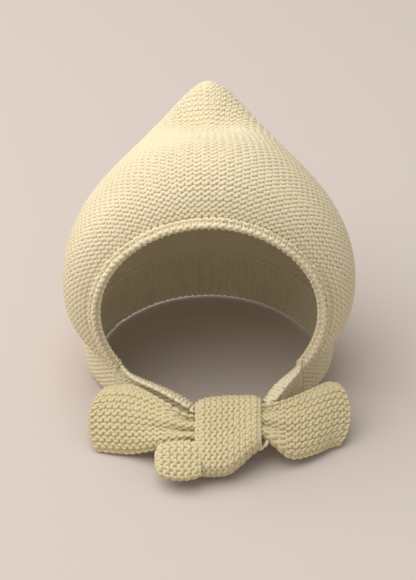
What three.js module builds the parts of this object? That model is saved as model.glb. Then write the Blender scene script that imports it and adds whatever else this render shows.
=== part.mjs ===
import * as THREE from 'three';

// A knitted baby bonnet with a point at the back of the crown, its ties knotted once under the chin.
// Millimetres, +Z up, the face opens towards -Y. The origin is inside the crown, where the top of
// the head meets the cloth. The shapes are worked out from the middle of the head.

// Hood: a round of cloth, drawn in at the face and at the neck
const hoodRadius = 70;
const hoodWall = 3;
const backFullness = 2;
const faceForward = 26;
const faceDip = 9;
const neckDrop = 32;
const neckDip = 1.5;
const faceDipStart = 0.75;
const neckDipStart = 0.86;

// Point: where the folded cloth ends, behind the crown
const pointReach = 24;
const pointLift = 50;
const pointSpread = 12.2;
const pointRound = 7;
const waist = 2.3;
const waistAngle = 38;
const waistSpread = 32;
const brow = 5;
const browAngle = 40;
const browSpread = 17;
const valley = 9;
const valleyAngle = 14;
const valleySpread = 10;

// Edging: the ridge that is picked up along the face edge
const edgingWidth = 4.4;
const edgingThickness = 4.6;

// One strip makes the neck band and both ties
const stripWidth = 31;
const stripThickness = 3.4;
const standHeight = 58.5;
const bandLean = 1;
const bandBulge = 2;
const strapRun = 0.9;
const strapSweep = 0.35;

// Knot: the strip goes once round the straps and the loose ends
const knotAhead = 37.8;
const knotShift = 8.8;
const knotTilt = 33;
const knotLength = 40;
const tuckWidth = 18;
const endReach = 50;

const clearance = 0.3;

const hoodRings = 18;
const faceSpokes = 34;
const neckSpokes = 26;
const edgingSteps = 48;
const bandSteps = 36;
const strapSteps = 9;
const loopSides = 20;

const { degToRad, lerp, smoothstep } = THREE.MathUtils;
const vector = (x, y, z) => new THREE.Vector3(x, y, z);
const forward = vector(0, -1, 0);
const down = vector(0, 0, -1);
const lift = degToRad(pointLift);
const pointAxis = vector(0, Math.cos(lift), Math.sin(lift));
const napeward = vector(0, Math.sin(lift), -Math.cos(lift));

// The hood is described by directions from the middle of the head: an angle away from the point's
// axis, and a turn around it, which is 0 at the nape, a quarter at the right ear and a half at the face.
function spoke(turn) {
  return vector(Math.sin(turn), 0, 0).addScaledVector(napeward, Math.cos(turn));
}

function heading(angle, turn) {
  return spoke(turn).multiplyScalar(Math.sin(angle)).addScaledVector(pointAxis, Math.cos(angle));
}

function pointRise(angle) {
  const round = degToRad(pointRound);
  const rise = Math.exp((round - Math.hypot(angle, round)) / degToRad(pointSpread));
  const hollow = Math.exp(-(((angle - degToRad(waistAngle)) / degToRad(waistSpread)) ** 2));
  return pointReach * rise - waist * hollow;
}

// Over the forehead the crown stands out, and a valley lies between it and the point
function browRise(angle, turn) {
  const stands = brow * Math.exp(-(((angle - degToRad(browAngle)) / degToRad(browSpread)) ** 2));
  const sinks = valley * Math.exp(-(((angle - degToRad(valleyAngle)) / degToRad(valleySpread)) ** 2));
  const over = smoothstep(Math.abs(turn), degToRad(95), degToRad(170));
  return (stands - sinks) * over * smoothstep(angle, 0, degToRad(valleyAngle));
}

function hoodReach(angle, turn, share) {
  const behind = Math.max(0, heading(angle, turn).y);
  const atFace = smoothstep(Math.abs(turn), degToRad(68), degToRad(88));
  const start = lerp(neckDipStart, faceDipStart, atFace);
  const drawn = Math.max(0, share - start) / (1 - start);
  return hoodRadius + pointRise(angle) + browRise(angle, turn) + backFullness * behind ** 2
    - lerp(neckDip, faceDip, atFace) * drawn ** 2;
}

// A face that slopes to its direction needs more depth to keep the cloth's thickness
function layerReach(angle, turn, share, depth) {
  const step = 0.01;
  const reach = hoodReach(angle, turn, share);
  const rise = (at) => pointRise(at) + browRise(at, turn);
  const slope = share > 0 ? (rise(angle + step) - rise(angle - step)) / (2 * step) : 0;
  return reach - depth * Math.hypot(1, slope / reach);
}

// The angle at which a spoke of that reach comes to a plane at `distance` along `normal`
function planeAngle(turn, normal, distance, reach) {
  const along = pointAxis.dot(normal);
  const across = spoke(turn).dot(normal);
  const size = Math.hypot(along, across);
  if (size * reach <= distance) {
    return Math.PI;
  }
  const nearest = Math.atan2(across, along);
  return (nearest < 0 ? nearest + 2 * Math.PI : nearest) - Math.acos(distance / (size * reach));
}

function rimAngle(turn, depth) {
  let angle = Math.PI / 2;
  for (let pass = 0; pass < 8; pass++) {
    const reach = layerReach(angle, turn, 1, depth);
    const atFace = planeAngle(turn, forward, faceForward, reach);
    const atNeck = planeAngle(turn, down, neckDrop, reach);
    angle = Math.min(atFace, atNeck);
  }
  return angle;
}

// A point of the cloth: share runs from 0 at the point to 1 at the rim, depth from the outside in
function hoodPoint(share, turn, depth) {
  const angle = share * rimAngle(turn, depth);
  return heading(angle, turn).multiplyScalar(layerReach(angle, turn, share, depth));
}

// The turn at which the face edge meets the neck edge
function cheekTurn(side) {
  let low = degToRad(40);
  let high = degToRad(120);
  for (let pass = 0; pass < 40; pass++) {
    const middle = (low + high) / 2;
    const rim = hoodPoint(1, side * middle, 0);
    if (rim.y > 0.001 - faceForward) {
      low = middle;
    } else {
      high = middle;
    }
  }
  return high;
}

const rightCheek = cheekTurn(1);
const leftCheek = cheekTurn(-1);

// A closed body between two sheets of points, sheet[row][place]. The places may run round in a ring.
// Points that fall together become one, so a sheet may close to a tip or to a line.
function body(outer, inner, ring) {
  const corners = [];
  const known = new Map();
  const numberOf = (point) => {
    const key = [point.x, point.y, point.z].map((value) => Math.round(value * 1e4)).join(',');
    if (!known.has(key)) {
      known.set(key, corners.length / 3);
      corners.push(point.x, point.y, point.z);
    }
    return known.get(key);
  };
  const rows = outer.length;
  const places = outer[0].length;
  const out = outer.map((row) => row.map(numberOf));
  const into = inner.map((row) => row.map(numberOf));
  const faces = [];
  const triangle = (a, b, c) => {
    if (a !== b && b !== c && c !== a) {
      faces.push(a, b, c);
    }
  };
  const quad = (a, b, c, d) => {
    triangle(a, b, c);
    triangle(a, c, d);
  };
  const spans = ring ? places : places - 1;
  for (let j = 0; j < spans; j++) {
    const k = (j + 1) % places;
    for (let i = 0; i + 1 < rows; i++) {
      quad(out[i][j], out[i + 1][j], out[i + 1][k], out[i][k]);
      quad(into[i][j], into[i][k], into[i + 1][k], into[i + 1][j]);
    }
    quad(out[0][j], out[0][k], into[0][k], into[0][j]);
    quad(out[rows - 1][k], out[rows - 1][j], into[rows - 1][j], into[rows - 1][k]);
  }
  if (!ring) {
    const last = places - 1;
    for (let i = 0; i + 1 < rows; i++) {
      quad(out[i + 1][0], out[i][0], into[i][0], into[i + 1][0]);
      quad(out[i][last], out[i + 1][last], into[i + 1][last], into[i][last]);
    }
  }
  const geometry = new THREE.BufferGeometry();
  geometry.setAttribute('position', new THREE.Float32BufferAttribute(corners, 3));
  geometry.setIndex(signedVolume(corners, faces) < 0 ? faces.reverse() : faces);
  geometry.computeVertexNormals();
  return geometry;
}

function signedVolume(corners, faces) {
  const corner = (number) => vector(...corners.slice(3 * number, 3 * number + 3));
  let volume = 0;
  for (let i = 0; i < faces.length; i += 3) {
    volume += corner(faces[i]).dot(corner(faces[i + 1]).cross(corner(faces[i + 2]))) / 6;
  }
  return volume;
}

const bonnet = new THREE.Group();

function add(name, geometry, colour) {
  const material = new THREE.MeshStandardMaterial({ color: colour, roughness: 0.95, metalness: 0 });
  const mesh = new THREE.Mesh(geometry, material);
  mesh.name = name;
  bonnet.add(mesh);
}

// Hood
const turns = [];
for (let i = 0; i < faceSpokes; i++) {
  turns.push(lerp(rightCheek, 2 * Math.PI - leftCheek, i / faceSpokes));
}
for (let i = 0; i < neckSpokes; i++) {
  turns.push(lerp(-leftCheek, rightCheek, i / neckSpokes));
}

function hoodSheet(depth) {
  const rings = [];
  for (let i = 0; i <= hoodRings; i++) {
    const share = (i / hoodRings) ** 1.15;
    rings.push(turns.map((turn) => hoodPoint(share, wrapTurn(turn), depth)));
  }
  return rings;
}

function wrapTurn(turn) {
  return turn > Math.PI ? turn - 2 * Math.PI : turn;
}

add('hood', body(hoodSheet(0), hoodSheet(hoodWall), true), 0xdccca9);

// Face edging: a ridge along the hood's front edge, its ends a little above the straps
const edgingPath = [];
for (let i = 0; i <= edgingSteps; i++) {
  const turn = wrapTurn(lerp(rightCheek, 2 * Math.PI - leftCheek, lerp(0.012, 0.988, i / edgingSteps)));
  const rim = hoodPoint(1, turn, hoodWall / 2);
  edgingPath.push(vector(rim.x, -faceForward - clearance - edgingWidth / 2, rim.z));
}
const edgingSection = new THREE.Shape();
edgingSection.absellipse(0, 0, edgingWidth / 2, edgingThickness / 2, 0, 2 * Math.PI, false, 0);
const edging = new THREE.ExtrudeGeometry(edgingSection, {
  steps: edgingSteps,
  curveSegments: 4,
  extrudePath: new THREE.CatmullRomCurve3(edgingPath),
});
add('face_edging', edging, 0xe0d0ac);

// A strip of cloth: stations along it, each with the points of its middle line and the way out of it
const stripPlaces = [0, 0.12, 0.5, 0.88, 1];
const edgeThinning = [0.5, 1, 1, 1, 0.5];

function strip(stations) {
  const sheet = (side) => stations.map((station) => stripPlaces.map((place, i) => {
    const point = station.at(place);
    return point.addScaledVector(station.out, side * station.thickness * edgeThinning[i] / 2);
  }));
  return body(sheet(1), sheet(-1), false);
}

// Neck band: from cheek to cheek round the nape, between the hood's neck edge and the surface below
function bandStation(turn) {
  const rim = hoodPoint(1, turn, hoodWall / 2);
  const out = vector(rim.x, rim.y, 0).normalize();
  const height = standHeight - neckDrop - clearance;
  const at = (place) => vector(rim.x, rim.y, -neckDrop - clearance)
    .addScaledVector(out, bandBulge * 4 * place * (1 - place) - bandLean * place)
    .addScaledVector(down, height * place);
  return { at, out, thickness: stripThickness };
}

const bandStations = [];
for (let i = 0; i <= bandSteps; i++) {
  bandStations.push(bandStation(lerp(-leftCheek, rightCheek, i / bandSteps)));
}
add('neck_band', strip(bandStations), 0xd8c9a4);

// The knot's own frame: across to the right, up its slope, and out of its front
const layerRoom = 1.3 * stripThickness;
const knotThickness = 2 * stripThickness + 2 * layerRoom + 3 * clearance;
const tilt = degToRad(knotTilt);
const upSlope = vector(0, Math.cos(tilt), Math.sin(tilt));
const outFront = vector(0, -Math.sin(tilt), Math.cos(tilt));
const knotRise = (knotLength - knotThickness) / 2 * Math.sin(tilt) + knotThickness / 2;
const knotMiddle = vector(knotShift, -faceForward - knotAhead, knotRise - standHeight);

function knotPoint(across, up, out) {
  return knotMiddle.clone()
    .add(vector(across, 0, 0))
    .addScaledVector(upSlope, up)
    .addScaledVector(outFront, out);
}

// What the wrap holds at its left side, its middle and its right side, in shares of the knot's length:
// the straps meet in its back half and the loose ends in its front half
const heldStraps = [{ up: 0.02, width: 0.55 }, { up: 0.06, width: 0.5 }, { up: 0.15, width: 0.4 }];
const heldEnds = [{ up: 0.07, width: 0.28 }, { up: 0.07, width: 0.3 }, { up: 0.155, width: 0.38 }];
const strapLayer = -(layerRoom + clearance) / 2;
const endLayer = (layerRoom + clearance) / 2;

// Stations in the wrap: one at its side, and one at its middle, a hair short of the other layer half
function heldStations(held, side, layer) {
  const station = ({ up, width }, across) => ({
    at: (place) => knotPoint(side * across, (up + width * (0.5 - place)) * knotLength, layer),
    out: outFront,
    thickness: stripThickness,
  });
  return [station(held[1 + side], stripWidth / 2), station(held[1], clearance / 2)];
}

// Straps: from the neck band's ends forward into the knot

function strapStations(side) {
  const cheek = side > 0 ? rightCheek : leftCheek;
  const start = bandStation(side * cheek);
  const before = bandStation(side * (cheek - 0.02));
  const ahead = start.at(0).sub(before.at(0)).setZ(0).normalize();
  const [entry, meeting] = heldStations(heldStraps, side, strapLayer);
  const arriving = vector(-side, -strapSweep, 0);
  const between = (t) => ({
    at: (place) => {
      const from = start.at(place).addScaledVector(ahead, clearance);
      const to = entry.at(place);
      const run = from.distanceTo(to) * strapRun;
      return from.multiplyScalar(1 - 3 * t ** 2 + 2 * t ** 3)
        .addScaledVector(ahead, run * (t - 2 * t ** 2 + t ** 3))
        .addScaledVector(to, 3 * t ** 2 - 2 * t ** 3)
        .addScaledVector(arriving, run * (t ** 3 - t ** 2));
    },
    out: start.out.clone().lerp(outFront, t).normalize(),
    thickness: stripThickness,
  });
  const stations = [];
  for (let i = 0; i <= strapSteps; i++) {
    stations.push(between(i / strapSteps));
  }
  stations.push(meeting);
  return stations;
}

add('left_strap', strip(strapStations(-1)), 0xd9caa6);
add('right_strap', strip(strapStations(1)), 0xd9caa6);

// A rounded oblong ring in the knot's frame
function oblong(across, up, halfLength, halfThickness) {
  const ring = [];
  for (let i = 0; i < loopSides; i++) {
    const turn = 2 * Math.PI * i / loopSides;
    const round = (value) => Math.sign(value) * Math.abs(value) ** 0.6;
    ring.push(knotPoint(across, up + halfLength * round(Math.cos(turn)), halfThickness * round(Math.sin(turn))));
  }
  return ring;
}

// Knot wrap: once round everything in the knot, shorter towards the right
const wrapSections = [
  { across: -0.5, length: 0.86, raise: -0.02 },
  { across: -0.3, length: 0.93, raise: -0.01 },
  { across: 0, length: 0.93, raise: 0.01 },
  { across: 0.3, length: 0.8, raise: 0.09 },
  { across: 0.5, length: 0.66, raise: 0.15 },
];

function wrapSheet(depth) {
  return wrapSections.map(({ across, length, raise }) => oblong(
    across * stripWidth,
    raise * knotLength,
    length * knotLength / 2 - depth,
    knotThickness / 2 - depth,
  ));
}

add('knot_wrap', body(wrapSheet(0), wrapSheet(stripThickness), true), 0xcabc97);

// Loose ends: out of the front half of the knot, leaning back on the straps. Along is a share of
// endReach, counted from the wrap's side. Up, out and width are shares of the strip's width.
const leftEnd = [
  { along: 0.1, up: 0.1, out: 0.075, width: 0.42, lean: 5, thickness: 1.1 },
  { along: 0.28, up: 0.15, out: 0.03, width: 0.66, lean: 8, thickness: 1.1 },
  { along: 0.58, up: 0.28, out: -0.19, width: 0.99, lean: 17, thickness: 1 },
  { along: 0.8, up: 0.33, out: -0.27, width: 0.97, lean: 17, thickness: 1 },
  { along: 0.94, up: 0.32, out: -0.31, width: 0.74, lean: 20, thickness: 0.9 },
  { along: 1, up: 0.31, out: -0.33, width: 0.46, lean: 21, thickness: 0.6 },
];
const rightEnd = [
  { along: 0.1, up: 0.16, out: 0.05, width: 0.6, lean: 5, thickness: 1 },
  { along: 0.28, up: 0.13, out: -0.07, width: 0.95, lean: 10, thickness: 1 },
  { along: 0.54, up: 0.28, out: -0.21, width: 1, lean: 11, thickness: 1 },
  { along: 0.72, up: 0.42, out: -0.34, width: 0.96, lean: 12, thickness: 1 },
  { along: 0.82, up: 0.43, out: -0.39, width: 0.72, lean: 13, thickness: 0.9 },
  { along: 0.86, up: 0.42, out: -0.41, width: 0.44, lean: 13, thickness: 0.6 },
];

function looseEnd(side, table) {
  const station = ({ along, up, out, width, lean, thickness }) => {
    const across = stripWidth / 2 + along * endReach;
    const slope = degToRad(lean);
    const spread = (place) => width * stripWidth * (0.5 - place);
    return {
      at: (place) => knotPoint(
        side * across,
        up * stripWidth + spread(place) * Math.cos(slope),
        out * stripWidth + spread(place) * Math.sin(slope),
      ),
      out: outFront.clone().multiplyScalar(Math.cos(slope)).addScaledVector(upSlope, -Math.sin(slope)),
      thickness: thickness * stripThickness,
    };
  };
  return strip([...heldStations(heldEnds, side, endLayer).reverse(), ...table.map(station)]);
}

add('left_end', looseEnd(-1, leftEnd), 0xc9bb93);
add('right_end', looseEnd(1, rightEnd), 0xc9bb93);

// Tuck: the wrap's lower end, folded under to the left. Up and length are shares of the knot's
// length, out and thickness of its thickness.
const tuckSections = [
  { across: 0, up: -0.31, out: 0.31, length: 0.42, thickness: 0.34 },
  { across: 0.3, up: -0.32, out: 0.31, length: 0.48, thickness: 0.38 },
  { across: 0.7, up: -0.32, out: 0.28, length: 0.44, thickness: 0.36 },
  { across: 0.92, up: -0.31, out: 0.26, length: 0.34, thickness: 0.28 },
  { across: 1, up: -0.31, out: 0.25, length: 0.2, thickness: 0.14 },
];

const tuckRings = tuckSections.map(({ across, up, out, length, thickness }) => oblong(
  -stripWidth / 2 - clearance - across * tuckWidth,
  up * knotLength,
  length * knotLength / 2,
  thickness * knotThickness / 2,
).map((point) => point.addScaledVector(outFront, out * knotThickness)));
const tuckCore = tuckRings.map((ring) => {
  const middle = ring.reduce((sum, point) => sum.add(point), vector(0, 0, 0)).divideScalar(ring.length);
  return ring.map(() => middle);
});
add('knot_tuck', body(tuckRings, tuckCore, true), 0xcabc97);

// The head's top meets the cloth straight above the middle of the head
const crownAngle = Math.PI / 2 - lift;
bonnet.position.z = -layerReach(crownAngle, Math.PI, crownAngle / rimAngle(Math.PI, 0), hoodWall);

export default bonnet;
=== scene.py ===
import bpy
import bmesh
import math
import numpy as np
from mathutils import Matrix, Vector


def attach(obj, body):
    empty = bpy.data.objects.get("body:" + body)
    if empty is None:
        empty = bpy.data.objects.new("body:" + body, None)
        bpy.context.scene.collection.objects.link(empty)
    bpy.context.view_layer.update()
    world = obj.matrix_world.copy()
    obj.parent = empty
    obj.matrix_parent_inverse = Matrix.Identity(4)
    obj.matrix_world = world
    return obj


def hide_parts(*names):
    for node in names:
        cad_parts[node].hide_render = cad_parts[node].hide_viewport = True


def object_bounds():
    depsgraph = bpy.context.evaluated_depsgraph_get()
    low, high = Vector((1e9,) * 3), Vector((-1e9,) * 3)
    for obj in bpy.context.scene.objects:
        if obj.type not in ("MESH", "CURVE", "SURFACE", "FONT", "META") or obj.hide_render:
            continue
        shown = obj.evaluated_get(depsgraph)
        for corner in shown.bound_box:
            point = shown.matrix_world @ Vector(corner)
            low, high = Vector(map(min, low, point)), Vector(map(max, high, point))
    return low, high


# A knitted baby bonnet with a point, tied in front. Each row of its stitches is a strand of yarn.

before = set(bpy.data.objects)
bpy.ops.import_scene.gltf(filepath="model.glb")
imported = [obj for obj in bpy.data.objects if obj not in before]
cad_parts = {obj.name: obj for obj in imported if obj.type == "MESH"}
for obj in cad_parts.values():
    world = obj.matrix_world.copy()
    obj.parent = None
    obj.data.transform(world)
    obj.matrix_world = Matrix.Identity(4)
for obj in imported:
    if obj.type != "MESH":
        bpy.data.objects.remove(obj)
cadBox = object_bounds()
print("frame loaded")

rng = np.random.default_rng(7)
mm = 0.001


# Small tools

def hexColour(text):
    # sRGB hex to the linear values that the shaders want
    values = [int(text[i:i + 2], 16) / 255 for i in (1, 3, 5)]
    return [v / 12.92 if v <= 0.04045 else ((v + 0.055) / 1.055) ** 2.4 for v in values] + [1.0]


def addNode(tree, kind, settings=None, links=None):
    node = tree.nodes.new(kind)
    for key, value in (settings or {}).items():
        if isinstance(key, int) or key in node.inputs:
            node.inputs[key].default_value = value
        else:
            setattr(node, key, value)
    for key, source in (links or {}).items():
        tree.links.new(source, node.inputs[key])
    return node


def between(a, b, share):
    return a + (b - a) * share


def ease(x, low, high):
    t = np.clip((x - low) / (high - low), 0, 1)
    return t * t * (3 - 2 * t)


def unit(v):
    return v / np.maximum(np.linalg.norm(v, axis=-1, keepdims=True), 1e-9)


def runAlong(line):
    # the length of the line up to each of its points
    return np.r_[0, np.cumsum(np.linalg.norm(np.diff(line, axis=0), axis=1))]


def cubic(t):
    # the four weights of a smooth curve through its points
    return np.stack([
        -0.5 * t + t ** 2 - 0.5 * t ** 3,
        1 - 2.5 * t ** 2 + 1.5 * t ** 3,
        0.5 * t + 2 * t ** 2 - 1.5 * t ** 3,
        -0.5 * t ** 2 + 0.5 * t ** 3,
    ])


def alongTable(table, places):
    # rows of numbers, read smoothly at places from 0 to 1 along the table's first column
    table = np.array(table, float)
    index = np.interp(places, table[:, 0], np.arange(len(table)))
    low = np.clip(np.floor(index).astype(int), 0, len(table) - 2)
    weights = cubic(index - low)
    rows = np.clip(low + np.arange(-1, 3)[:, None], 0, len(table) - 1)
    return (weights[:, :, None] * table[rows][:, :, 1:]).sum(0)


def onSheet(sheet, a, b):
    # a runs along the sheet's columns and b along its rows. Both may be fractions, and b may go
    # a little past the edges, so that the loops of the last rows lie on the same curve.
    rows, columns = sheet.shape[:2]
    a = np.clip(a, 0, columns - 1)
    lowA = np.clip(np.floor(a).astype(int), 0, columns - 2)
    lowB = np.clip(np.floor(b).astype(int), 0, rows - 2)
    weightsA, weightsB = cubic(a - lowA), cubic(np.clip(b - lowB, -0.6, 1.6))
    total = 0
    for i in range(4):
        for j in range(4):
            spot = sheet[np.clip(lowB + j - 1, 0, rows - 1), np.clip(lowA + i - 1, 0, columns - 1)]
            total = total + (weightsA[i] * weightsB[j])[:, None] * spot
    return total


def lifted(sheet, a, b, out, side):
    # a place on the sheet, moved out of it to one side
    step = 0.2
    across = onSheet(sheet, a + step, b) - onSheet(sheet, a - step, b)
    down = onSheet(sheet, a, b + step) - onSheet(sheet, a, b - step)
    return onSheet(sheet, a, b) + side * unit(np.cross(across, down)) * out[:, None]


def evenSheet(stations, stitchWidth, rows):
    # stations[along][across], counted again so that each column is one stitch wide
    run = runAlong(stations[:, stations.shape[1] // 2])
    count = max(2, round(run[-1] / stitchWidth))
    index = np.interp(np.linspace(0, run[-1], count + 1), run, np.arange(len(run)))
    low = np.clip(np.floor(index).astype(int), 0, len(run) - 2)
    share = (index - low)[:, None, None]
    even = stations[low] * (1 - share) + stations[low + 1] * share
    across = np.linspace(0, stations.shape[1] - 1, rows + 1)
    lowAcross = np.clip(np.floor(across).astype(int), 0, stations.shape[1] - 2)
    part = (across - lowAcross)[None, :, None]
    even = even[:, lowAcross] * (1 - part) + even[:, lowAcross + 1] * part
    return even.transpose(1, 0, 2)


# The hood's shape, the same as the solid's: millimetres and degrees, from the middle of the head

hoodSizes = {
    "radius": 70, "wall": 3, "backFullness": 2, "faceForward": 26, "faceDip": 9,
    "neckDrop": 32, "neckDip": 1.5, "faceDipStart": 0.75, "neckDipStart": 0.86,
    "faceDipFrom": 68, "faceDipBy": 88,
    "pointReach": 24, "pointLift": 50, "pointSpread": 12.2, "pointRound": 7,
    "waist": 2.3, "waistAngle": 38, "waistSpread": 32,
    "brow": 5, "browAngle": 40, "browSpread": 17, "browFrom": 95, "browBy": 170,
    "valley": 9, "valleyAngle": 14, "valleySpread": 10,
    "stitchesEachSide": 41, "rows": 42,
}

lift = math.radians(hoodSizes["pointLift"])
pointAxis = np.array([0, math.cos(lift), math.sin(lift)])
napeward = np.array([0, math.sin(lift), -math.cos(lift)])


def spoke(turn):
    # straight out from the point's axis, 0 towards the nape and half a turn towards the face
    return np.sin(turn)[..., None] * np.array([1.0, 0, 0]) + np.cos(turn)[..., None] * napeward


def heading(angle, turn):
    return np.cos(angle)[..., None] * pointAxis + np.sin(angle)[..., None] * spoke(turn)


def pointRise(angle):
    # the point, round at its tip, and the waist that it rises from
    s = hoodSizes
    rounding = math.radians(s["pointRound"])
    rise = np.exp((rounding - np.hypot(angle, rounding)) / math.radians(s["pointSpread"]))
    hollow = np.exp(-(np.degrees(angle) - s["waistAngle"]) ** 2 / s["waistSpread"] ** 2)
    return s["pointReach"] * rise - s["waist"] * hollow


def browRise(angle, turn):
    # over the forehead the crown stands out, with a valley between it and the point
    s, degrees = hoodSizes, np.degrees(angle)
    stands = s["brow"] * np.exp(-((degrees - s["browAngle"]) / s["browSpread"]) ** 2)
    sinks = s["valley"] * np.exp(-((degrees - s["valleyAngle"]) / s["valleySpread"]) ** 2)
    over = ease(np.abs(turn), math.radians(s["browFrom"]), math.radians(s["browBy"]))
    return (stands - sinks) * over * ease(degrees, 0, s["valleyAngle"])


def hoodReach(angle, turn, share, depth):
    # how far the cloth lies from the middle of the head, drawn in near its edges
    s = hoodSizes
    behind = np.maximum(0, heading(angle, turn)[..., 1])
    atFace = ease(np.abs(turn), math.radians(s["faceDipFrom"]), math.radians(s["faceDipBy"]))
    start = between(s["neckDipStart"], s["faceDipStart"], atFace)
    drawn = np.maximum(0, share - start) / (1 - start)
    reach = s["radius"] + pointRise(angle) + browRise(angle, turn) + s["backFullness"] * behind ** 2
    reach = reach - between(s["neckDip"], s["faceDip"], atFace) * drawn ** 2
    step = 0.01
    before, after = (pointRise(near) + browRise(near, turn) for near in (angle - step, angle + step))
    slope = (after - before) / (2 * step)
    return reach - depth * np.hypot(1, slope / reach)


def planeAngle(turn, normal, distance, reach):
    # the angle at which a spoke of that reach comes to a plane
    along, across = pointAxis @ normal, spoke(turn) @ normal
    size = np.hypot(along, across)
    nearest = np.arctan2(across, along)
    nearest = np.where(nearest < 0, nearest + 2 * np.pi, nearest)
    swing = np.arccos(np.clip(distance / (size * reach), -1, 1))
    return np.where(size * reach <= distance, np.pi, nearest - swing)


def rimAngle(turn, depth):
    # the cloth ends at the face's plane or at the neck's, whichever comes first, and each round
    # comes closer to it
    angle = np.full(np.shape(turn), np.pi / 2)
    for _ in range(8):
        reach = hoodReach(angle, turn, np.ones_like(angle), depth)
        atFace = planeAngle(turn, np.array([0, -1.0, 0]), hoodSizes["faceForward"], reach)
        atNeck = planeAngle(turn, np.array([0, 0, -1.0]), hoodSizes["neckDrop"], reach)
        angle = np.minimum(atFace, atNeck)
    return angle


def hoodPoint(share, turn, depth):
    # share runs from 0 at the point to 1 at the rim, depth from the outside in
    angle = share * rimAngle(turn, depth)
    return heading(angle, turn) * hoodReach(angle, turn, share, depth)[..., None]


def cheekTurn(side):
    # the turn at which the face edge meets the neck edge, found by halving
    low, high = math.radians(40), math.radians(120)
    for _ in range(40):
        middle = (low + high) / 2
        ahead = -hoodPoint(np.array([1.0]), np.array([side * middle]), 0)[0, 1]
        if ahead < hoodSizes["faceForward"] - 0.001:
            low = middle
        else:
            high = middle
    return high


# the top of the head meets the cloth straight above its middle, and that is the origin
crown = float(hoodReach(np.array([np.pi / 2 - lift]), np.array([np.pi]),
                        np.array([0.5]), hoodSizes["wall"])[0])


def place(points):
    return (np.asarray(points) - np.array([0, 0, crown])) * mm


# Camera, floor and light

studio = {
    "distance": 900, "elevation": 38, "drop": 13, "aside": 0.5,  # millimetres, degrees, pixels, millimetres
    "focalPixels": 1890, "frameHeight": 580,
    "floor": "#c7bbb2", "floorReach": 3, "floorGap": 0.0006,  # metres, as the window's sizes
    "room": 0.52, "windowSpot": (-0.5, 0.0, 1.1), "windowSize": 1.8, "windowWatts": 20.5,
    "windowAim": (0, 0, -0.08),
}


def makeCamera():
    rise = math.radians(studio["elevation"])
    towards = np.array([0, -math.cos(rise), math.sin(rise)])
    cam = bpy.data.cameras.new("camera")
    cam.lens = cam.sensor_width * studio["focalPixels"] / studio["frameHeight"]
    shot = bpy.data.objects.new("camera", cam)
    shot.location = place(towards * studio["distance"] - np.array([studio["aside"], 0, 0]))
    tip = rise + math.atan(studio["drop"] / studio["focalPixels"])
    shot.rotation_euler = (math.pi / 2 - tip, 0, 0)
    bpy.context.scene.collection.objects.link(shot)
    bpy.context.scene.camera = shot


def mattPaper():
    # uncoated paper: no shine, and a tooth about a millimetre across that only just breaks the tone
    paper = bpy.data.materials.new("matt_paper")
    paper.use_nodes = True
    tree = paper.node_tree
    tree.nodes.clear()
    coords = addNode(tree, "ShaderNodeTexCoord")
    tooth = addNode(tree, "ShaderNodeTexNoise",
                    {"Scale": 900.0, "Detail": 3.0}, {"Vector": coords.outputs["Object"]})
    bump = addNode(tree, "ShaderNodeBump",
                   {"Strength": 0.08, "Distance": 0.0004}, {"Height": tooth.outputs["Fac"]})
    shader = addNode(tree, "ShaderNodeBsdfPrincipled", {
        "Base Color": hexColour(studio["floor"]), "Roughness": 0.95, "Specular IOR Level": 0.15,
    }, {"Normal": bump.outputs["Normal"]})
    addNode(tree, "ShaderNodeOutputMaterial", None, {"Surface": shader.outputs["BSDF"]})
    return paper


def makeFloor():
    bm = bmesh.new()
    bmesh.ops.create_grid(bm, x_segments=1, y_segments=1, size=studio["floorReach"])
    bmesh.ops.translate(bm, verts=bm.verts, vec=(0, 0, cadBox[0].z - studio["floorGap"]))
    mesh = bpy.data.meshes.new("paper_floor")
    bm.to_mesh(mesh)
    mesh.materials.append(mattPaper())
    floor = bpy.data.objects.new("paper_floor", mesh)
    bpy.context.scene.collection.objects.link(floor)


def makeLight():
    # an even pale room, and one broad window high on the left
    world = bpy.data.worlds.new("soft_room")
    world.use_nodes = True
    background = world.node_tree.nodes["Background"]
    background.inputs["Color"].default_value = hexColour("#ffffff")
    background.inputs["Strength"].default_value = studio["room"]
    bpy.context.scene.world = world
    lamp = bpy.data.lights.new("window", "AREA")
    lamp.shape = "DISK"
    lamp.size = studio["windowSize"]
    lamp.energy = studio["windowWatts"]
    window = bpy.data.objects.new("window", lamp)
    window.location = studio["windowSpot"]
    aim = Vector(studio["windowAim"]) - Vector(studio["windowSpot"])
    window.rotation_euler = aim.to_track_quat("-Z", "Y").to_euler()
    bpy.context.scene.collection.objects.link(window)


makeCamera()
makeFloor()
makeLight()
bpy.context.scene.view_settings.view_transform = "Standard"
print("camera, floor and light")


# Wool: scales are per metre, so patches are about 20 mm across and fibres under a millimetre,
# coarser than real ones so that they show

woolSizes = {"patches": 45.0, "fibres": 1500.0, "fibreHeight": 0.0003, "patchShare": 0.55, "fibreShare": 0.5}


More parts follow.
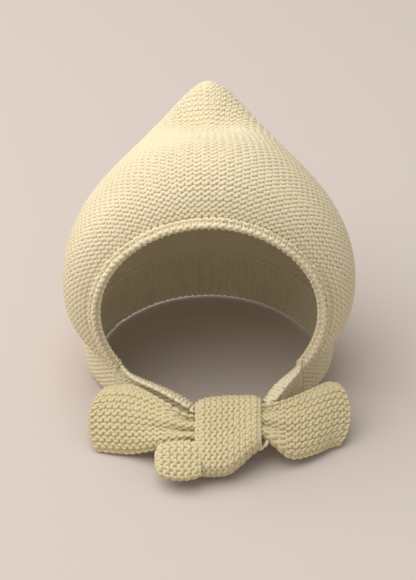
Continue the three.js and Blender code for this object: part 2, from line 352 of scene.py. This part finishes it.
def wool(name, base, shade, fluff):
    # hand-knitting wool: matt, with a soft halo of fibres that catches light at its edges
    material = bpy.data.materials.new(name)
    material.use_nodes = True
    tree = material.node_tree
    tree.nodes.clear()
    coords = addNode(tree, "ShaderNodeTexCoord")
    spot = coords.outputs["Object"]
    patches = addNode(tree, "ShaderNodeTexNoise",
                      {"Scale": woolSizes["patches"], "Detail": 2.0}, {"Vector": spot})
    fibres = addNode(tree, "ShaderNodeTexNoise",
                     {"Scale": woolSizes["fibres"], "Detail": 4.0, "Roughness": 0.7}, {"Vector": spot})
    fine = addNode(tree, "ShaderNodeMath",
                   {"operation": "MULTIPLY", 1: woolSizes["fibreShare"]}, {0: fibres.outputs["Fac"]})
    blend = addNode(tree, "ShaderNodeMath", {"operation": "MULTIPLY_ADD", 1: woolSizes["patchShare"]},
                    {0: patches.outputs["Fac"], 2: fine.outputs[0]})
    colour = addNode(tree, "ShaderNodeMix", {"data_type": "RGBA", 6: hexColour(shade), 7: hexColour(base)},
                     {0: blend.outputs[0]})
    bump = addNode(tree, "ShaderNodeBump", {"Strength": 0.5, "Distance": woolSizes["fibreHeight"]},
                   {"Height": fibres.outputs["Fac"]})
    shader = addNode(tree, "ShaderNodeBsdfPrincipled", {
        "Roughness": 0.95, "Specular IOR Level": 0.1,
        "Sheen Weight": fluff, "Sheen Roughness": 0.6, "Sheen Tint": hexColour("#fff3d8"),
    }, {"Base Color": colour.outputs[2], "Normal": bump.outputs["Normal"]})
    addNode(tree, "ShaderNodeOutputMaterial", None, {"Surface": shader.outputs["BSDF"]})
    return material


# the hood's wool is clean and pale. The ties' wool is a little fluffier, and is painted a little darker and
# more saturated as shade for their closer loops and the weaker light on them.
# The cloth between the loops is painted darker and yellower than the yarn as the shade there, and has no
# fluff, as no light reaches it
creamWool = wool("cream_wool", "#eadec2", "#dccda6", 0.06)
# painted shade: the ties' wool is darker and more saturated than the hood's
shadedTieWool = wool("cream_wool_of_the_ties", "#dccfa9", "#cfbf92", 0.1)
# painted shade: the cloth behind the loops is darker and yellower than the yarn
shadedWool = wool("cream_wool_between_loops", "#e8d5a8", "#dcc48f", 0.0)


# Knitting, laid on a sheet of points: rows of yarn with the thin cloth behind them

yarnSizes = {"thick": 1.85, "stitch": 3.57, "row": 2.5}
clothSizes = {"thick": 0.3, "behind": 0.2, "merge": 0.02}

# a loop's points, its lean, height and unevenness in stitches and rows, its depth in millimetres
loop = {"thick": yarnSizes["thick"], "points": 9, "lean": 0.2, "uneven": 0.045}
plainKnit = {**loop, "height": 0.79, "depth": 0.4, "side": -1}
stripKnit = {**loop, "height": 0.8, "depth": 0.42, "side": 1}


def setPiece(name, mesh, material, node):
    mesh.materials.append(material)
    piece = bpy.data.objects.new(name, mesh)
    bpy.context.scene.collection.objects.link(piece)
    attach(piece, "root")
    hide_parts(node)
    return piece


def clothFrom(name, sheet, side, node):
    # the thin cloth behind the loops, a little towards the back of the stitches, in wool painted darker as
    # the shade between the loops
    rows, columns = sheet.shape[:2]
    outward = unit(np.cross(np.gradient(sheet, axis=1), np.gradient(sheet, axis=0)))
    points = place(sheet - side * clothSizes["behind"] * outward)
    bm = bmesh.new()
    bmesh.ops.create_grid(bm, x_segments=columns - 1, y_segments=rows - 1, size=0.5)
    for v in bm.verts:
        v.co = points[round((v.co.y + 0.5) * (rows - 1)), round((v.co.x + 0.5) * (columns - 1))]
    bmesh.ops.remove_doubles(bm, verts=bm.verts, dist=clothSizes["merge"] * mm)
    for face in bm.faces:
        face.smooth = True
    mesh = bpy.data.meshes.new(name)
    bm.to_mesh(mesh)
    piece = setPiece(name, mesh, shadedWool, node)
    wall = piece.modifiers.new("cloth", "SOLIDIFY")
    wall.thickness = clothSizes["thick"] * mm
    wall.offset = 0
    return piece


def bakeCells(mesh):
    # each face of a dense piece gets its own cell of the map
    count = len(mesh.polygons)
    across = math.ceil(math.sqrt(count))
    layer = mesh.uv_layers.new(name="OFBake")
    near, far = 0.08, 0.92
    corners = np.array([[near, near], [far, near], [far, far], [near, far]])
    starts = np.empty(count, int)
    totals = np.empty(count, int)
    mesh.polygons.foreach_get("loop_start", starts)
    mesh.polygons.foreach_get("loop_total", totals)
    uv = np.zeros((len(mesh.loops), 2))
    cell = np.stack([np.arange(count) % across, np.arange(count) // across], 1)
    for corner in range(4):
        has = totals > corner
        uv[starts[has] + corner] = (cell[has] + corners[corner]) / across
    layer.data.foreach_set("uv", uv.ravel())


def yarnFrom(name, strands, thick, material, node):
    # round yarn along each strand, as one mesh
    data = bpy.data.curves.new(name, "CURVE")
    data.dimensions = "3D"
    data.bevel_depth = thick / 2 * mm
    data.bevel_resolution = 1  # six sides
    data.use_fill_caps = True
    for strand in strands:
        spline = data.splines.new("POLY")
        spline.points.add(len(strand) - 1)
        spline.points.foreach_set("co", np.c_[place(strand), np.ones(len(strand))].ravel())
        spline.use_smooth = True
    course = bpy.data.objects.new(name + "_course", data)
    bpy.context.scene.collection.objects.link(course)
    mesh = bpy.data.meshes.new_from_object(course.evaluated_get(bpy.context.evaluated_depsgraph_get()))
    bpy.data.objects.remove(course)
    mesh.name = name
    for layer in list(mesh.uv_layers):
        mesh.uv_layers.remove(layer)
    bakeCells(mesh)
    mesh.materials.clear()
    print(name, "triangles", sum(len(p.vertices) - 2 for p in mesh.polygons))
    return setPiece(name, mesh, material, node)


def knitRows(sheet, rows, look):
    # each row is one strand: its loops stand out at head and foot, and their legs pass behind
    columns = sheet.shape[1] - 1
    strands = []
    for row in rows:
        tau = np.arange(columns * look["points"] + 1) / look["points"]
        loose = np.interp(tau, np.arange(columns + 1), rng.normal(0, look["uneven"], columns + 1))
        tall = np.interp(tau, np.arange(columns + 1), rng.normal(0, look["uneven"], columns + 1))
        turn = 2 * np.pi * tau
        a = tau + look["lean"] * np.sin(2 * turn) + loose
        b = row + 0.5 - look["height"] * np.cos(turn) * (1 + tall) + 0.5 * loose
        out = look["depth"] * np.cos(2 * turn)
        strands.append(lifted(sheet, a, b, out, look["side"]))
    return strands


def knit(word, sheet, look, node, material, parts=("",)):
    # dresses a node in cloth and yarn, the yarn in one piece or in several.
    cloth = clothFrom(word + "_cloth", sheet, look["side"], node)
    for part, rows in zip(parts, np.array_split(np.arange(sheet.shape[0] - 1), len(parts))):
        strands = knitRows(sheet, rows, look)
        yarnFrom(word + "_yarn" + part, strands, look["thick"], material, node)


# Hood: its sheet is the flat cloth, folded at the top and sewn up behind

laying = {
    "rimPoints": 80, "spokePoints": 41, "rounds": 14, "softness": 0.6,
    "cornerWarp": 0.3, "rimFrom": 0.8,  # evens the columns round the point, before they turn to the rim
}


def rimPlaces(side, fromTurn, toTurn):
    # turns along the rim, and how far each lies along it from 0 to 1
    count = laying["rimPoints"]
    turns = np.linspace(fromTurn, toTurn, count)
    run = runAlong(hoodPoint(np.ones(count), side * turns, hoodSizes["wall"] / 2))
    return run / run[-1], turns


def hoodHalf(side):
    # u runs down the back seam from the point, and v along the fold from the point to the face
    half, rows = hoodSizes["stitchesEachSide"], hoodSizes["rows"]
    depth = hoodSizes["wall"] / 2
    cheek = cheekTurn(side)
    u, v = np.meshgrid(np.arange(half + 1) / half, np.arange(rows + 1) / rows)
    reach = np.maximum(np.maximum(u, v), 1e-6)
    alongNeck = np.interp(v / reach, *rimPlaces(side, 0, cheek))
    alongFace = np.interp(1 - u / reach, *rimPlaces(side, cheek, np.pi))
    atRim = np.where(u >= v, alongNeck, alongFace)
    corner = 2 * np.arctan2(v, u)
    corner = corner + laying["cornerWarp"] * np.sin(corner)
    turn = between(corner, atRim, ease(reach, 0, laying["rimFrom"]))
    count = laying["spokePoints"]
    shares = np.linspace(0, 1, count)
    share = np.zeros_like(u)
    for i in range(rows + 1):
        for j in range(half + 1):
            run = runAlong(hoodPoint(shares, np.full(count, side * turn[i, j]), depth))
            share[i, j] = np.interp(reach[i, j] * run[-1], run, shares) if u[i, j] + v[i, j] > 0 else 0
    angle = share * rimAngle(side * turn, depth)
    flat = np.stack([angle * np.cos(turn), angle * np.sin(turn)], -1)
    for _ in range(laying["rounds"]):  # lets the rows turn the cheek's corner softly
        inner = (flat[:-2, 1:-1] + flat[2:, 1:-1] + flat[1:-1, :-2] + flat[1:-1, 2:]) / 4
        flat[1:-1, 1:-1] = between(flat[1:-1, 1:-1], inner, laying["softness"])
    angle, turn = np.hypot(flat[..., 0], flat[..., 1]), np.arctan2(flat[..., 1], flat[..., 0])
    share = np.clip(angle / rimAngle(side * turn, depth), 0, 1)
    return hoodPoint(share, side * turn, depth)


hoodPoints = np.concatenate([hoodHalf(-1)[:, ::-1], hoodHalf(1)[:, 1:]], 1)
knit("hood", hoodPoints, plainKnit, "hood", creamWool,
     ("_back", "_front"))
print("hood")


# Face edging: a ridge picked up along the face edge

edging = {
    "width": 4.4, "thickness": 4.6, "stitch": 3.1, "rows": 4, "flatWidth": 10.5,
    "gap": 0.3, "inset": 0.3, "ends": 0.004, "stations": 160, "around": 25,
    "look": {**loop, "thick": 1.7, "height": 0.66, "depth": 0.7, "uneven": 0.06, "side": 1},
}


def edgingSheet():
    count, ends = edging["stations"], edging["ends"]
    turn = between(cheekTurn(1), 2 * np.pi - cheekTurn(-1), np.linspace(ends, 1 - ends, count))
    turn = np.where(turn > np.pi, turn - 2 * np.pi, turn)
    rim = hoodPoint(np.ones(count), turn, hoodSizes["wall"] / 2)
    ahead = np.full(count, -hoodSizes["faceForward"] - edging["gap"] - edging["width"] / 2)
    middle = np.stack([rim[:, 0], ahead, rim[:, 2]], 1)
    outward = unit(middle * np.array([1, 0, 1]))
    forward = np.array([0, -1.0, 0])
    around = np.linspace(0, 2 * np.pi, edging["around"])
    high = np.cos(around) * (edging["thickness"] / 2 - edging["inset"])
    deep = np.sin(around) * (edging["width"] / 2 - edging["inset"])
    tube = middle[:, None] + outward[:, None] * high[None, :, None] + forward * deep[None, :, None]
    return evenSheet(tube, edging["stitch"], edging["rows"])


knit("edging", edgingSheet(), edging["look"], "face_edging", creamWool)
print("edging")


# Neck band: the strip round the neck, which also makes the ties

stripSizes = {
    "width": 31, "rows": 10, "standHeight": 58.5, "bandLean": 1, "bandBulge": 2, "gap": 0.3,
    "bandTop": -0.03, "bandFoot": 0.95,  # shares of the band's height
    "along": 120, "across": 21,
}


def bandLine(turn):
    # the band's top edge and the way out of it, for each turn
    rim = hoodPoint(np.ones(np.shape(turn)), turn, hoodSizes["wall"] / 2)
    top = rim * np.array([1, 1, 0]) + np.array([0, 0, -hoodSizes["neckDrop"] - stripSizes["gap"]])
    return top, unit(rim * np.array([1, 1, 0]))


def bandPoint(top, out, share):
    height = stripSizes["standHeight"] - hoodSizes["neckDrop"] - stripSizes["gap"]
    swell = stripSizes["bandBulge"] * 4 * share * (1 - share) - stripSizes["bandLean"] * share
    return top + out * swell + np.array([0, 0, -height]) * share


def bandSheet():
    top, out = bandLine(np.linspace(-cheekTurn(-1), cheekTurn(1), stripSizes["along"]))
    shares = np.linspace(stripSizes["bandTop"], stripSizes["bandFoot"], stripSizes["across"])
    stations = np.stack([bandPoint(top, out, share) for share in shares], 1)
    return evenSheet(stations, yarnSizes["stitch"], stripSizes["rows"])


knit("band", bandSheet(), stripKnit, "neck_band", creamWool)
print("neck band")


# The knot's own frame: across to the right, up its slope and out of its front

knot = {
    "ahead": 37.8, "shift": 8.8, "tilt": 33, "length": 40,
    "strip": 3.4, "bunched": 1.3, "gap": 0.3,  # the strip's thickness, and its share when bunched
}
knot["layer"] = knot["bunched"] * knot["strip"]
knot["thickness"] = 2 * knot["strip"] + 2 * knot["layer"] + 3 * knot["gap"]
tilt = math.radians(knot["tilt"])
upSlope = np.array([0, math.cos(tilt), math.sin(tilt)])
outFront = np.array([0, -math.sin(tilt), math.cos(tilt)])
knotRise = (knot["length"] - knot["thickness"]) / 2 * math.sin(tilt) + knot["thickness"] / 2
knotMiddle = np.array([
    knot["shift"],
    -hoodSizes["faceForward"] - knot["ahead"],
    knotRise - stripSizes["standHeight"],
])


def inKnot(across, up, out):
    across, up, out = (values[..., None] for values in np.broadcast_arrays(across, up, out))
    return knotMiddle + across * np.array([1.0, 0, 0]) + up * upSlope + out * outFront


# Straps: from the band's ends into the knot

straps = {
    # how high they lie and how wide, in shares of the knot's length, at each side of the wrap and
    # at 0 inside it
    "held": {-1: (0.16, 0.5), 0: (0.1, 0.48), 1: (0.14, 0.6)},
    "wrapSide": 15.5, "inside": 3, "layer": -(knot["layer"] + knot["gap"]) / 2,
    "folds": 3, "foldDepth": {-1: 1.25, 1: 2.4},
    "arch": {-1: 7, 1: 10}, "run": 0.55, "sweep": 0.35,
    "curl": {-1: 0.36, 1: 0.34},  # the share of the width that curls outward from the upper edge
    "curledBy": 0.45, "flattensFrom": 0.6, "flattens": {-1: 0, 1: 0.3},
    "along": 24, "across": 31, "edge": 0.02,
}


def curlAt(t, side):
    # the curl opens out of the band, and may flatten a little before the knot
    flatter = straps["flattens"][side] * ease(t, straps["flattensFrom"], 1)
    return ease(t, 0, straps["curledBy"]) * (1 - flatter)


def strapInKnot(side, across, held, places, folds):
    up, width = straps["held"][held]
    return inKnot(side * across, (up + width * (0.5 - places)) * knot["length"], straps["layer"] + folds)


def strapSheet(side):
    cheek = cheekTurn(side)
    justBefore = cheek - 0.02
    (start, before), (out, _) = bandLine(side * np.array([cheek, justBefore]))
    ahead = unit((start - before) * np.array([1, 1, 0]))
    inward = np.array([-side, -straps["sweep"], 0])
    curl = straps["curl"][side]
    radius = curl / (np.pi / 2)
    flat = np.linspace(straps["edge"], 1 - straps["edge"], straps["across"])
    curled = np.clip(1 - flat / curl, 0, 1) * np.pi / 2
    rolled = np.where(curled > 0, curl - radius * np.sin(curled), flat)
    stations = []
    for t in np.linspace(0, 1, straps["along"]):
        places = between(flat, rolled, curlAt(t, side))
        folds = np.cos(2 * np.pi * straps["folds"] * places) * straps["foldDepth"][side] * t
        first = bandPoint(start, out, places[:, None]) + ahead * stripSizes["gap"]
        last = strapInKnot(side, straps["wrapSide"], side, places, folds)
        run = np.linalg.norm(last - first, axis=1)[:, None] * straps["run"]
        stations.append(
            first * (1 - 3 * t ** 2 + 2 * t ** 3) + ahead * run * (t - 2 * t ** 2 + t ** 3)
            + last * (3 * t ** 2 - 2 * t ** 3) + inward * run * (t ** 3 - t ** 2)
            + np.array([0, 0, 4 * straps["arch"][side] * t * (1 - t)]))
    stations.append(strapInKnot(side, straps["inside"], 0, places, 0))
    stations = np.array(stations)
    outward = side * unit(np.cross(np.gradient(stations, axis=0), np.gradient(stations, axis=1)))
    share = curlAt(np.linspace(0, 1, len(stations)), side)[:, None]
    curlOut = stripSizes["width"] * radius * (1 - np.cos(curled)) * share
    return evenSheet(stations + outward * curlOut[..., None], yarnSizes["stitch"], stripSizes["rows"])


for side, word in ((-1, "left"), (1, "right")):
    knit(word + "_strap", strapSheet(side), {**stripKnit, "side": side}, word + "_strap",
         creamWool)
print("straps")


# Loose ends: how far across, up and out they lie in the knot's frame, their width, their lean in
# degrees, and how far the sheet's crown and its pleats stand out

looseEnds = {
    -1: [  # place, across, up, out, width, lean, crown, pleat
        (0.00, 2.0, 2.8, 2.3, 12.0, 0, 0.6, 1.6),
        (0.18, 15.5, 2.8, 2.4, 11.5, 2, 0.8, 1.8),
        (0.26, 20.5, 3.1, 2.4, 13.0, 5, 1.2, 1.8),
        (0.38, 29.5, 5.0, 1.2, 21.5, 8, 2.6, 1.0),
        (0.62, 44.5, 9.0, -5.5, 32.0, 17, 3.4, 0.2),
        (0.82, 55.5, 10.4, -8.2, 33.0, 17, 2.8, 0.0),
        (1.00, 65.0, 10.6, -9.8, 31.0, 20, 1.2, 0.0),
    ],
    1: [
        (0.00, 2.0, 3.2, 2.3, 13.0, 0, 0.6, 1.4),
        (0.22, 15.5, 6.2, 2.4, 15.2, 2, 0.8, 1.4),
        (0.30, 20.5, 5.2, 1.6, 19.0, 5, 1.2, 1.2),
        (0.44, 29.5, 4.2, -2.0, 29.0, 10, 2.6, 0.5),
        (0.68, 42.5, 8.8, -6.4, 32.0, 11, 3.2, 0.0),
        (0.88, 51.5, 12.8, -10.2, 32.0, 12, 2.4, 0.0),
        (1.00, 57.5, 13.4, -12.2, 29.0, 13, 1.0, 0.0),
    ],
    # how far the far edge falls short, from its top to its bottom: a share of the width, then millimetres
    "farEdge": {
        -1: [(0, 8), (0.1, 4.5), (0.25, 1.6), (0.45, 0), (0.7, 0.2), (0.9, 1.8), (1, 4)],
        1: [(0, 4.5), (0.12, 2), (0.3, 0.4), (0.55, 0), (0.8, 1.5), (1, 4.5)],
    },
    "pleats": 2.5, "shortFrom": 0.35,
    "along": 60, "across": 31, "edge": 0.03,
}


def endSheet(side):
    along = np.linspace(0, 1, looseEnds["along"])
    places = np.linspace(looseEnds["edge"], 1 - looseEnds["edge"], looseEnds["across"])
    short = alongTable(looseEnds["farEdge"][side], places)[:, 0]
    pleats = np.cos(2 * np.pi * looseEnds["pleats"] * places)
    stations = []
    for t, (across, up, out, width, lean, crownOut, pleat) in zip(along, alongTable(looseEnds[side], along)):
        across = across - short * ease(t, looseEnds["shortFrom"], 1)
        slope = math.radians(lean)
        spread = width * (0.5 - places)
        raised = crownOut * (1 - (2 * places - 1) ** 2) + pleat * pleats
        stations.append(inKnot(
            side * across,
            up + spread * math.cos(slope) - raised * math.sin(slope),
            out + spread * math.sin(slope) + raised * math.cos(slope)))
    return evenSheet(np.array(stations), yarnSizes["stitch"], stripSizes["rows"])


for side, word in ((-1, "left"), (1, "right")):
    knit(word + "_end", endSheet(side), {**stripKnit, "side": -side}, word + "_end",
         shadedTieWool)
print("loose ends")


# Knot wrap: once round everything in the knot, shorter towards the right

wrap = {
    "rows": 11, "halfWidth": 14.6, "squareness": 0.6, "across": 21, "around": 61,
    "sections": [  # place from left to right, half length, up, half thickness
        (0.00, 16.0, -0.8, 6.6),
        (0.12, 17.4, -0.7, 7.2),
        (0.30, 17.8, -0.3, 7.4),
        (0.50, 17.6, 0.4, 7.4),
        (0.70, 15.4, 2.6, 7.2),
        (0.88, 13.0, 5.2, 6.9),
        (1.00, 11.6, 6.0, 6.3),
    ],
}


def squarer(value):
    # makes a round ring an oblong with soft corners
    return np.sign(value) * np.abs(value) ** wrap["squareness"]


def roundOblong(across, up, halfLength, halfThick, places):
    turn = 2 * np.pi * places
    return inKnot(across, up + halfLength * squarer(np.cos(turn)), halfThick * squarer(np.sin(turn)))


def wrapSheet():
    # each ring starts and ends at the back, where the strip goes out of sight
    places = np.linspace(-0.25, 0.75, wrap["around"])
    across = np.linspace(-wrap["halfWidth"], wrap["halfWidth"], wrap["across"])
    sections = alongTable(wrap["sections"], np.linspace(0, 1, wrap["across"]))
    rings = [roundOblong(x, up, half, thick, places) for x, (half, up, thick) in zip(across, sections)]
    return evenSheet(np.array(rings).transpose(1, 0, 2), yarnSizes["stitch"], wrap["rows"])


knit("wrap", wrapSheet(), stripKnit, "knot_wrap", shadedTieWool)
print("knot wrap")


# Tuck: the wrap's lower end, folded under to the left

tuck = {
    "rows": 7, "flatWidth": 20, "across": 21, "around": 41,
    "sections": [  # place, across, up, out, half length, half thickness
        (0.00, -13.0, -12.4, 4.8, 7.4, 2.2),
        (0.30, -19.0, -12.8, 5.0, 8.6, 2.6),
        (0.65, -26.5, -12.8, 4.6, 8.2, 2.6),
        (0.88, -31.6, -12.4, 4.2, 6.4, 2.0),
        (1.00, -33.2, -12.4, 4.0, 3.6, 0.9),
    ],
}


def tuckSheet():
    places = np.linspace(-0.25, 0.75, tuck["around"])
    sections = alongTable(tuck["sections"], np.linspace(0, 1, tuck["across"]))
    rings = [
        roundOblong(across, up, half, thick, places) + out * outFront
        for across, up, out, half, thick in sections
    ]
    return evenSheet(np.array(rings).transpose(1, 0, 2), yarnSizes["stitch"], tuck["rows"])


knit("tuck", tuckSheet(), {**stripKnit, "side": -1}, "knot_tuck", shadedTieWool)
print("tuck")
